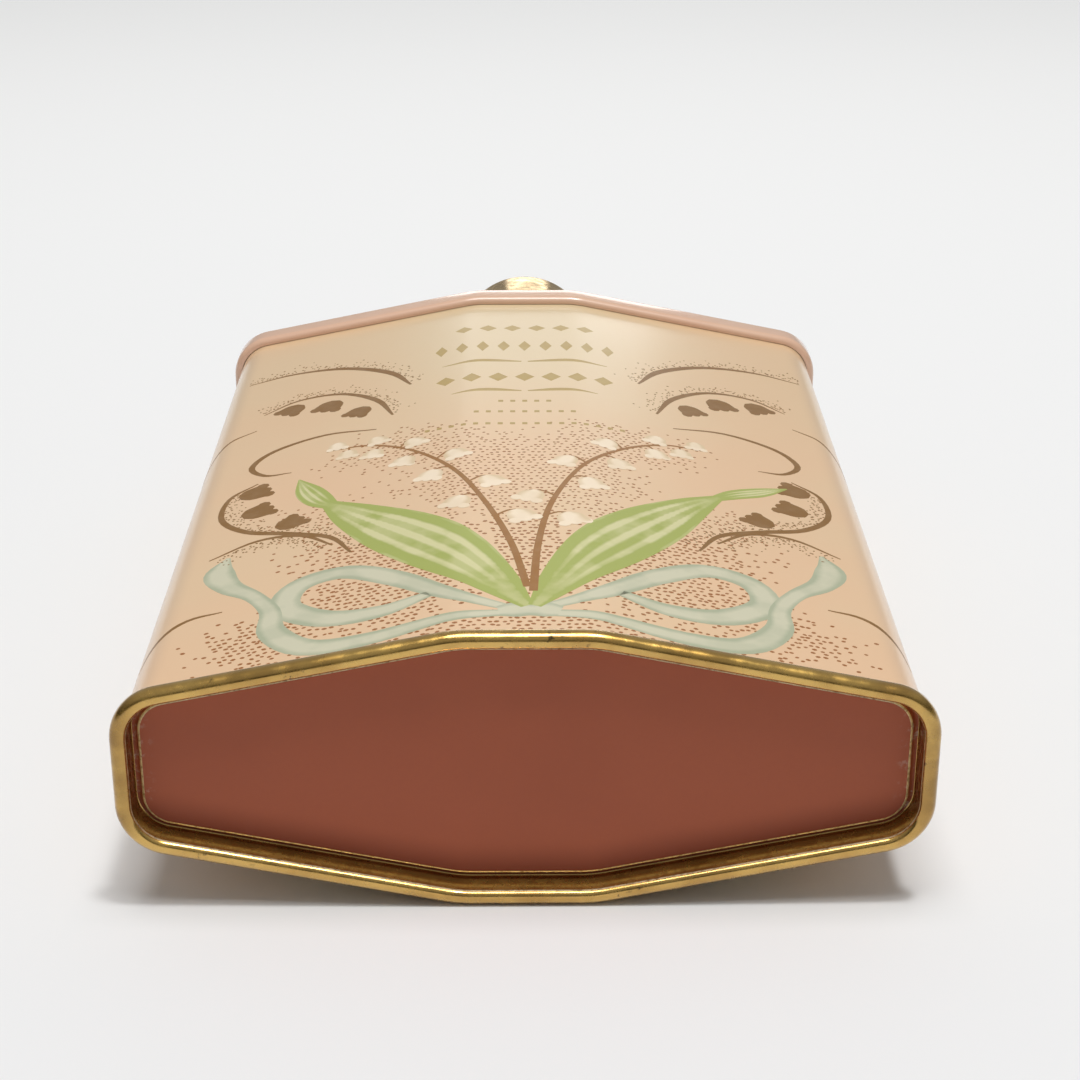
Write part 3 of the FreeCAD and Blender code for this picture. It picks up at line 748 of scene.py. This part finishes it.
DOT_SEATS = (                       # across, up, half width, half height, strength
    (0, 26, 4, 12, 1.0), (-6, 42, 7, 9, 1.2), (6, 42, 6, 9, 1.2), (-15, 55, 8, 5, 1.0),
    (13, 54, 8, 5, 1.0), (0, 46, 7, 5, 0.7), (-17, 25, 8, 6, 0.9), (17, 26, 8, 7, 0.9),
    (-15, 13, 9, 5, 1.3), (15, 14, 9, 5, 1.3), (-27, 9, 6, 5, 0.8), (28, 9, 6, 5, 0.7),
    (0, 5, 22, 2.4, 0.9), (-24, 38, 6, 5, 0.6), (22, 36, 6, 5, 0.6), (-10, 19, 6, 4, 0.7),
    (10, 19, 6, 4, 0.7),
)


FIRST_BELL, BELL_RUN = 0.28, 0.7    # shares of the stem before the bells and along them
BELL_SIZE, BELL_STEP = 3.5, 0.1     # of the first bell, and how much smaller each next one is


def spray(stems, bells, knots, count):
    """A stem that bells hang from on both sides, smaller towards the tip."""
    line = stems.brush(*knots, pieces=8)
    for number in range(count):
        index = round((len(line) - 1) * (FIRST_BELL + BELL_RUN * number / (count - 1)))
        at, flank = line[index].xy, 1 if number % 2 else -1
        away = beside(line, index) * flank
        size = BELL_SIZE - BELL_STEP * number
        start = at + away * size * 0.62 + Vector((0, 0.3 * size))
        middle = at.lerp(start, 0.6) + Vector((0, 0.4))
        stems.brush((*at, 0.3), (*middle, 0.25), (*start, 0.2), pieces=3)
        bells.bell(start, away * 0.4 - Vector((0, 0.95)), size)


def ornamental_panel(film):
    """Plain rules, lozenges and dots in the middle of the front."""
    for up, count, gap, size, slim in (
        (93.6, 6, 3.2, 1.15, 1.0), (86.4, 9, 2.7, 1.9, 0.42), (74.6, 7, 3.3, 1.5, 0.8),
    ):
        for number in range(count):
            across = (number - (count - 1) / 2) * gap
            film.dot(across, up, size, 4, slim, 90)
    for up, reach in ((80.4, 10.5), (69.6, 9.0)):
        for side in (1, -1):
            film.brush(*mirrored(((0.4, up, 0.3), (reach / 2, up + 0.5, 0.9), (reach, up, 0.1)), side))
    for up, count in ((66.0, 5), (62.4, 9), (58.4, 17)):
        for number in range(count):
            film.dot((number - (count - 1) / 2) * 1.45, up, 0.42, 4, 1.0, 45)


DOT_GAP, DOT_SHAKE = 0.8, 0.2       # the stipple's grid
DOTS_WIDE, DOTS_HIGH, DOTS_FOOT = 76, 64, 3.6


def stipple(film, chance):
    """Dots on a shaken grid that crowd round the flowers and thin out to the sides."""
    for row in range(round(DOTS_HIGH / DOT_GAP)):
        for column in range(round(DOTS_WIDE / DOT_GAP)):
            across = (column + 0.5 * (row % 2)) * DOT_GAP - DOTS_WIDE / 2
            across += chance.uniform(-DOT_SHAKE, DOT_SHAKE)
            up = row * DOT_GAP + DOTS_FOOT + chance.uniform(-DOT_SHAKE, DOT_SHAKE)
            weight = sum(
                k * math.exp(-((across - a) / s) ** 2 - ((up - b) / t) ** 2)
                for a, b, s, t, k in DOT_SEATS
            )
            if chance.random() > 1.35 * weight - 0.12:
                continue
            radius = chance.uniform(0.22, 0.3) if up < 30 else chance.uniform(0.17, 0.23)
            film.dot(across, up, radius, 6, 0.75, chance.uniform(-30, 30))


def fine_dots(film, knots, side, chance):
    """Very small dots that fade away from the outside of a scroll."""
    line = smooth_line(mirrored(knots, side), 12)
    for number in range(1, len(line) - 1):
        for _ in range(3):
            away = beside(line, number) * side * (0.4 + abs(chance.gauss(0, 1.1)))
            at = line[number].xy + away
            film.dot(at.x + chance.uniform(-0.3, 0.3), at.y, chance.uniform(0.09, 0.16), 5)


# --- operators -----------------------------------------------------------------------
WALL_TUCK = 1.6 * MM                # the wall ends this far under the top of the roll
LOCK_SEAM_MARGIN = 5 * MM           # and the lock seam's step this far from both seams
HEM_GAP, HEM_TURN = 0.07 * MM, 0.15 * MM
LINING_GAP = 0.3 * MM
NOTCH_SLACK = math.radians(0.6)
GLOSS_STEPS, TURN_STEPS, ROUND_STEPS, INNER_STEPS = 9, 6, 8, 4    # of the profiles' arcs
SLOPE_STEPS, CROWN_STEPS = 14, 18


class TIN_OT_body(bpy.types.Operator):
    """Folds the printed body wall and its side seam"""

    bl_idname = "tin.body"
    bl_label = "Body wall"

    def execute(self, context):
        sizes, colours = context.scene.tin_sizes, context.scene.tin_colours
        section = Section(sizes)
        ground = printed_ground(colours)
        low = sizes.sheet + sizes.seam_gap
        high = SHOULDER_LOW.y - BASE + sizes.roll_height - WALL_TUCK
        profile = [(0, low), (0, high), (-sizes.sheet, high), (-sizes.sheet, low), (0, low)]
        bm = pressed(section, profile)
        make_piece("body_sleeve", bm, [ground], "tin", ["body_wall"])
        self.side_seam(section, sizes, ground)
        return {"FINISHED"}

    def side_seam(self, section, sizes, ground):
        """The lock seam's soft step and its joint line, a painted shadow at the step's edge, down one
        narrow end.
        """
        middle = section.half_way / 2
        low = sizes.seam_height + LOCK_SEAM_MARGIN
        high = SHOULDER_LOW.y - BASE - LOCK_SEAM_MARGIN
        middle, low, high, width = (n / MM for n in (middle, low, high, sizes.lock_seam))
        step, line = Film(-0.006), Film(-0.004)
        step.brush((middle, low, width), (middle, high, width), pieces=1)
        edge = middle - width / 2
        line.brush((edge, low, 0.2), (edge, high, 0.2), pieces=1)
        make_piece("lock_seam_step", step.fold(section, False), [ground], "tin")
        shade = printed_ink("seam_line_shadow", "8A6A4A")
        make_piece("lock_seam_line", line.fold(section, False), [shade], "tin")


class TIN_OT_base(bpy.types.Operator):
    """Presses the recessed base and rolls its seam"""

    bl_idname = "tin.base"
    bl_label = "Base end"

    def execute(self, context):
        sizes, colours = context.scene.tin_sizes, context.scene.tin_colours
        section = Section(sizes)
        sheet, gap = sizes.sheet, sizes.seam_gap
        wall, back = -2 * sheet - gap, -sheet - gap
        out, top = sizes.seam_out, sizes.seam_height
        round_out, round_in = sizes.seam_round, sizes.rim_inner_round
        turn, panel = sizes.seam_turn, sizes.recess
        edge, deep = wall - sizes.groove_width, panel + sizes.groove_depth
        bend, lip = sizes.groove_round, sizes.panel_round
        crest = arc_points((wall + round_in, round_in), round_in, 180, 270, GLOSS_STEPS)
        crest += arc_points((out - round_out, round_out), round_out, 270, 360, GLOSS_STEPS)
        crest += arc_points((out - turn, top - turn), turn, 0, 90, TURN_STEPS)
        inside = [(gap, top), (gap, top - sheet), (out - turn, top - sheet), (out - sheet, top - turn)]
        inside += arc_points((out - round_out, round_out), round_out - sheet, 360, 270, INNER_STEPS)
        inside += arc_points((wall + round_in, round_in), round_in - sheet, 270, 180, INNER_STEPS)
        inside += [(back, deep + sheet), (edge - sheet, deep + sheet)]
        inside += arc_points((edge - lip, panel + lip), lip - sheet, 0, -90, INNER_STEPS)
        face = arc_points((edge - lip, panel + lip), lip, 270, 360, ROUND_STEPS)
        foot = face + arc_points((edge + bend, deep - bend), bend, 180, 90, INNER_STEPS)
        foot += arc_points((wall - bend, deep - bend), bend, 90, 0, INNER_STEPS)
        profile = foot + crest + inside
        bm = pressed(section, profile)
        close_ends(bm)
        row_layer = bm.faces.layers.int["row"]
        # these rows get the pale lacquer: partly rubbed lacquer, partly a painted highlight along the
        # panel's edge and the rim's inner edge
        worn = (1, 2, 3, len(foot), len(foot) + 1)     # rows at the panel's edge and the rim's
        for face in bm.faces:
            at_front = face.calc_center_median().y < BASE + panel + sheet / 2
            if len(face.verts) > 4:
                face.material_index = 1 if at_front else 0
            elif face[row_layer] in worn:
                face.material_index = 2
            elif face[row_layer] < len(foot) - INNER_STEPS:
                face.material_index = 1
        materials = [gold_lacquer(colours), terracotta_enamel(colours, sizes), rubbed_lacquer_and_painted_highlight()]
        make_piece("base_stamping", bm, materials, "tin", ["base_end"])
        return {"FINISHED"}


class TIN_OT_shoulder(bpy.types.Operator):
    """Draws the pink shoulder and rolls its band"""

    bl_idname = "tin.shoulder"
    bl_label = "Shoulder"

    def execute(self, context):
        sizes, colours = context.scene.tin_sizes, context.scene.tin_colours
        section = Section(sizes)
        sheet, out = sizes.sheet, sizes.seam_out
        low = SHOULDER_LOW.y - BASE
        high = low + sizes.roll_height
        top = SHOULDER_HIGH.y - BASE
        half = Vector((RIM_HIGH.x - out, RIM_HIGH.z - AXIS_HEIGHT - out))

        def ring(out, along, radius=0.0, share=0.0):
            return (out, along, radius, share)

        def place(station, point):
            out, along, radius, share = point
            way, flat, _ = station
            folded = section.place(way, along, out)
            angle = math.atan2(flat.y / half.y, flat.x / half.x)
            round_point = Vector((
                radius * math.cos(angle), BASE + along, AXIS_HEIGHT + radius * math.sin(angle)
            ))
            return folded.lerp(round_point, share)

        def slope(inset):
            """Rings from the roll up to the boss; the foot and the head are eased."""
            start = high - head * 0.55
            rings = []
            for step in range(1, SLOPE_STEPS + 1):
                share = step / SLOPE_STEPS
                eased = share + 0.035 * math.sin(math.tau * share)
                along = start + (top - start) * share
                rings.append(ring(
                    sizes.slope_start - inset, along - inset, sizes.boss_radius - inset, eased
                ))
            return rings

        foot, head = sizes.roll_low, sizes.roll_high
        skin = [ring(HEM_GAP, low + HEM_TURN), ring(HEM_GAP, low)]
        band = arc_points((out - foot, low + foot), foot, 270, 360, ROUND_STEPS)
        band += arc_points((out - head, high - head), head, 0, 80, ROUND_STEPS)
        skin += [ring(*point) for point in band]
        skin += slope(0.0)
        skin += [ring(0, top, sizes.neck_hole, 1.0), ring(0, top - sheet, sizes.neck_hole, 1.0)]
        lining = slope(sheet)
        lining.reverse()
        lining += [ring(out - sheet, high - head), ring(out - sheet, low + foot)]
        lining += [ring(LINING_GAP, low + sheet), skin[0]]
        bm = pressed(section, skin + lining, place)
        enamel = [pink_enamel(colours)]
        make_piece("drawn_shoulder", bm, enamel, "tin", ["shoulder"])
        return {"FINISHED"}


class TIN_OT_collar(bpy.types.Operator):
    """Gives the neck collar and the sifter plate their brass"""

    bl_idname = "tin.collar"
    bl_label = "Collar and sifter plate"

    def execute(self, context):
        brass = polished_brass("collar_brass", context.scene.tin_colours)
        for node in ("neck_collar", "sifter_plate"):
            refinish(node, brass)
        return {"FINISHED"}


class TIN_OT_cap(bpy.types.Operator):
    """Spins the turning cap, pierces it, and finishes its rivet"""

    bl_idname = "tin.cap"
    bl_label = "Turning cap"

    def execute(self, context):
        cap, colours = context.scene.cap_sizes, context.scene.tin_colours
        brass = polished_brass("spun_cap_brass", colours)
        low, high = CAP_LOW.y - BASE, CAP_HIGH.y - BASE
        radius, sheet, rise = cap.cap_radius, cap.cap_sheet, cap.crown_rise
        sphere = (radius ** 2 + rise ** 2) / (2 * rise)
        centre = high - sphere
        bore = RIVET_LOW.x * -0.5

        def skin(inset, corner):
            """Crown from the rivet out, rounded corner, and skirt down."""
            edge, ball = radius - inset, sphere - inset
            level = centre + math.sqrt((ball - corner) ** 2 - (edge - corner) ** 2)
            lean = math.degrees(math.atan2(level - centre, edge - corner))
            first = math.degrees(math.acos(bore / ball))
            crown = arc_points((0, centre), ball, first, lean, CROWN_STEPS)
            return crown + arc_points((edge - corner, level), corner, lean, 0, ROUND_STEPS)[1:]

        outer = skin(0.0, cap.cap_round)
        inner = skin(sheet, cap.cap_round - sheet)
        half = cap.bead_height / 2
        bead = arc_points((radius, low + half), half, 90, -90, ROUND_STEPS)
        bead = [(radius + (r - radius) * cap.bead / half, y) for r, y in bead]
        profile = outer + bead + [(radius - sheet, low)] + list(reversed(inner))
        bm = spun(profile)
        piece = make_piece("spun_cap", bm, [brass], "cap", ["turn_cap"])
        self.pierce(piece, cap, low, high)
        refinish("cap_rivet", polished_brass("rivet_brass", colours, 0.16, 0.34))
        return {"FINISHED"}

    def pierce(self, piece, cap, low, high):
        """Cuts the sifting holes and the stop notch."""
        cutter = bmesh.new()
        for number in range(cap.hole_count):
            angle = -math.radians(cap.open_angle + number * 360 / cap.hole_count)
            where = Matrix.Translation((
                cap.hole_circle * math.cos(angle), BASE + high,
                AXIS_HEIGHT + cap.hole_circle * math.sin(angle),
            ))
            bmesh.ops.create_cone(
                cutter, cap_ends=True, segments=32, radius1=cap.hole_radius,
                radius2=cap.hole_radius, depth=5 * MM,
                matrix=where @ Matrix.Rotation(math.pi / 2, 4, "X"),
            )
        cut_out(piece, cutter)
        wedge = bmesh.new()
        inner, outer, notch = cap.neck_radius, cap.cap_radius * 1.5, low + cap.notch_top
        start = -math.radians(cap.open_angle) - NOTCH_SLACK
        sweep = math.radians(cap.lug_angle + cap.open_angle) + 2 * NOTCH_SLACK
        corners = [(inner, low - MM), (outer, low - MM), (outer, notch), (inner, notch)]
        flat = [wedge.verts.new((r, BASE + y, AXIS_HEIGHT)) for r, y in corners]
        face = wedge.faces.new(flat)
        turned = Matrix.Rotation(start, 4, (0, 1, 0))
        centre = Matrix.Translation((0, 0, AXIS_HEIGHT))
        bmesh.ops.transform(wedge, matrix=centre @ turned @ centre.inverted(), verts=flat)
        bmesh.ops.spin(
            wedge, geom=[face] + face.edges[:] + flat, cent=(0, 0, AXIS_HEIGHT), axis=(0, 1, 0),
            angle=sweep, steps=16,
        )
        cut_out(piece, wedge)


class TIN_OT_print(bpy.types.Operator):
    """Prints the bouquet, ribbon, scrolls and stipple as thin films of ink"""

    bl_idname = "tin.print"
    bl_label = "Printed ornament"

    def execute(self, context):
        sizes, colours = context.scene.tin_sizes, context.scene.tin_colours
        section, chance = Section(sizes), random.Random(SEED)
        films = {name: Film(level) for name, level in INK_LEVELS.items()}
        dots, ribbon, leaves, stems, bells, scrolls, panel = films.values()
        stipple(dots, chance)
        for side in (1, -1):
            for knots in RIBBON:
                ribbon.brush(*mirrored(knots, side))
            for knots in SCROLLS:
                scrolls.brush(*mirrored(knots, side))
            for knots in SCROLLS[:DOTTED_SCROLLS]:
                fine_dots(scrolls, knots, side, chance)
            for across, up, east, north, size in FLORETS:
                scrolls.bell(Vector((side * across, up)), Vector((side * east, north)), size)
        ribbon.brush((-2.6, 7.4, 2.2), (-1.0, 7.7, 3.2), (0.5, 7.7, 2.6), (2.0, 7.7, 3.2), (3.4, 7.3, 2.2))
        for knots in (LEFT_CURL, LEFT_LEAF, RIGHT_CURL, RIGHT_LEAF):
            leaves.brush(*knots, pieces=8)
        spray(stems, bells, LEFT_STEM, 11)
        spray(stems, bells, RIGHT_STEM, 10)
        ornamental_panel(panel)
        inks = (
            printed_ink("stipple_ink", colours.dot),
            shaded_ink("ribbon_ink", colours.ribbon, colours.ribbon_shade, 0.0),
            shaded_ink("leaf_ink", colours.leaf_light, colours.leaf, 4.0),
            printed_ink("stem_ink", colours.stem),
            shaded_ink("bell_ink", colours.bell, colours.bell_shade, 0.0),
            printed_ink("scroll_ink", colours.scroll),
            printed_ink("panel_ink", colours.panel_ink),
        )
        for (name, film), ink in zip(films.items(), inks):
            for place, turned in (("front", False), ("back", True)):
                bm = film.fold(section, turned)
                make_piece(f"{place}_print_{name}", bm, [ink], "tin")
            film.bm.free()
        return {"FINISHED"}


class TIN_OT_inner(bpy.types.Operator):
    """Gives the pieces inside the tin their finishes"""

    bl_idname = "tin.inner"
    bl_label = "Inner pieces"

    def execute(self, context):
        steel, rubber = plain_steel(), seam_rubber()
        finishes = {
            "friction_washer": steel,
            "base_seam_compound": rubber,
            "shoulder_seam_compound": rubber,
        }
        for node, material in finishes.items():
            refinish(node, material)
        return {"FINISHED"}


class TIN_OT_stage(bpy.types.Operator):
    """Sets the pale floor, the soft light and the camera"""

    bl_idname = "tin.stage"
    bl_label = "Stage"

    def execute(self, context):
        stage, scene = context.scene.tin_stage, context.scene
        material, tree, place = new_material("pale_card_floor")
        along = add(tree, SPLIT, {"Vector": place}, "Y")
        # painted light: the floor grows paler towards the back, as if lit more there
        painted_far_light = add(tree, RANGE, {"Value": along, "From Min": -0.1, "From Max": 0.36}, **SMOOTH)
        cloud = uneven(tree, place, 60, (0.3, 0.7), (0.0, 0.3), 2.0)
        layers = [(cloud, "E6E7E7"), (painted_far_light, stage.floor_far_painted_light)]
        finish_material(tree, stage.floor_colour, layers, Roughness=0.9)
        bm = bmesh.new()
        bmesh.ops.create_grid(bm, x_segments=1, y_segments=1, size=6.0)
        mesh = bpy.data.meshes.new("floor")
        bm.to_mesh(mesh)
        bm.free()
        mesh.materials.append(material)
        placed("floor", mesh)

        world = bpy.data.worlds.new("soft_studio")
        world.use_nodes = True
        tree = world.node_tree
        tree.nodes.clear()
        direction = add(tree, "ShaderNodeTexCoord", output="Generated")
        behind, height = (add(tree, SPLIT, {"Vector": direction}, axis) for axis in "YZ")
        above = add(tree, RANGE, {"Value": height, "From Min": 0.1, "From Max": 0.6}, **SMOOTH)
        back = add(tree, RANGE, {"Value": behind, "From Min": 0.1, "From Max": 0.6}, **SMOOTH)
        share = add(tree, MATH, {0: above, 1: back}, operation="MAXIMUM")
        inputs = {0: share, 6: linear("5A5856"), 7: linear("FDFEFF")}
        sky = add(tree, "ShaderNodeMix", inputs, 2, data_type="RGBA")
        lit = add(tree, "ShaderNodeBackground", {"Color": sky, "Strength": stage.room_light})
        add(tree, "ShaderNodeOutputWorld", {"Surface": lit})
        scene.world = world
        self.softbox("key_lamp", (0.2, BASE - 0.13, 1.4), (0.14, 0.14), stage.key_power)
        self.softbox("overhead_softbox", (0, -0.14, 0.9), (0.45, 0.45), stage.overhead_power)
        self.softbox("back_softbox", (0.03, 1.35, 0.3), (0.45, 0.2), stage.back_power)

        data = bpy.data.cameras.new("camera")
        data.lens = stage.focal_length
        data.sensor_width = 36.0
        data.clip_start = 0.005
        camera = placed("camera", data)
        camera.location = (0, BASE - stage.back, stage.height)
        camera.rotation_euler = (math.radians(90 - stage.pitch), 0, -math.radians(stage.yaw))
        scene.camera = camera
        scene.view_settings.view_transform = "Standard"
        return {"FINISHED"}

    def softbox(self, name, place, size, power):
        """A rectangular area light that looks at the foot of the base."""
        data = bpy.data.lights.new(name, "AREA")
        data.shape = "RECTANGLE"
        data.size, data.size_y = size
        data.energy = power
        lamp = placed(name, data)
        lamp.location = place
        aim = Vector((0, BASE, 0)) - Vector(place)
        lamp.rotation_euler = aim.to_track_quat("-Z", "Y").to_euler()


class TIN_PT_panel(bpy.types.Panel):
    """Lists the tin's operators and settings"""

    bl_idname = "TIN_PT_panel"
    bl_label = "Powder tin"
    bl_space_type = "VIEW_3D"
    bl_region_type = "UI"
    bl_category = "Powder tin"

    def draw(self, context):
        for step in STEPS:
            self.layout.operator(step.bl_idname)
        for group in (context.scene.tin_sizes, context.scene.cap_sizes, context.scene.tin_colours,
                      context.scene.tin_stage):
            box = self.layout.box()
            for key in group.bl_rna.properties.keys():
                if key not in ("rna_type", "name"):
                    box.prop(group, key)


STEPS = (
    TIN_OT_stage, TIN_OT_body, TIN_OT_base, TIN_OT_shoulder, TIN_OT_collar, TIN_OT_cap,
    TIN_OT_print, TIN_OT_inner,
)
GROUPS = {
    "tin_sizes": TinSizes, "cap_sizes": CapSizes, "tin_colours": TinColours,
    "tin_stage": StageSettings,
}


def register():
    for kind in (*GROUPS.values(), *STEPS, TIN_PT_panel):
        bpy.utils.register_class(kind)
    for name, kind in GROUPS.items():
        setattr(bpy.types.Scene, name, bpy.props.PointerProperty(type=kind))


def unregister():
    for name in GROUPS:
        delattr(bpy.types.Scene, name)
    for kind in reversed((*GROUPS.values(), *STEPS, TIN_PT_panel)):
        bpy.utils.unregister_class(kind)


def main():
    register()
    for step in STEPS:
        group, action = step.bl_idname.split(".")
        getattr(getattr(bpy.ops, group), action)()


if __name__ == "__main__":
    main()
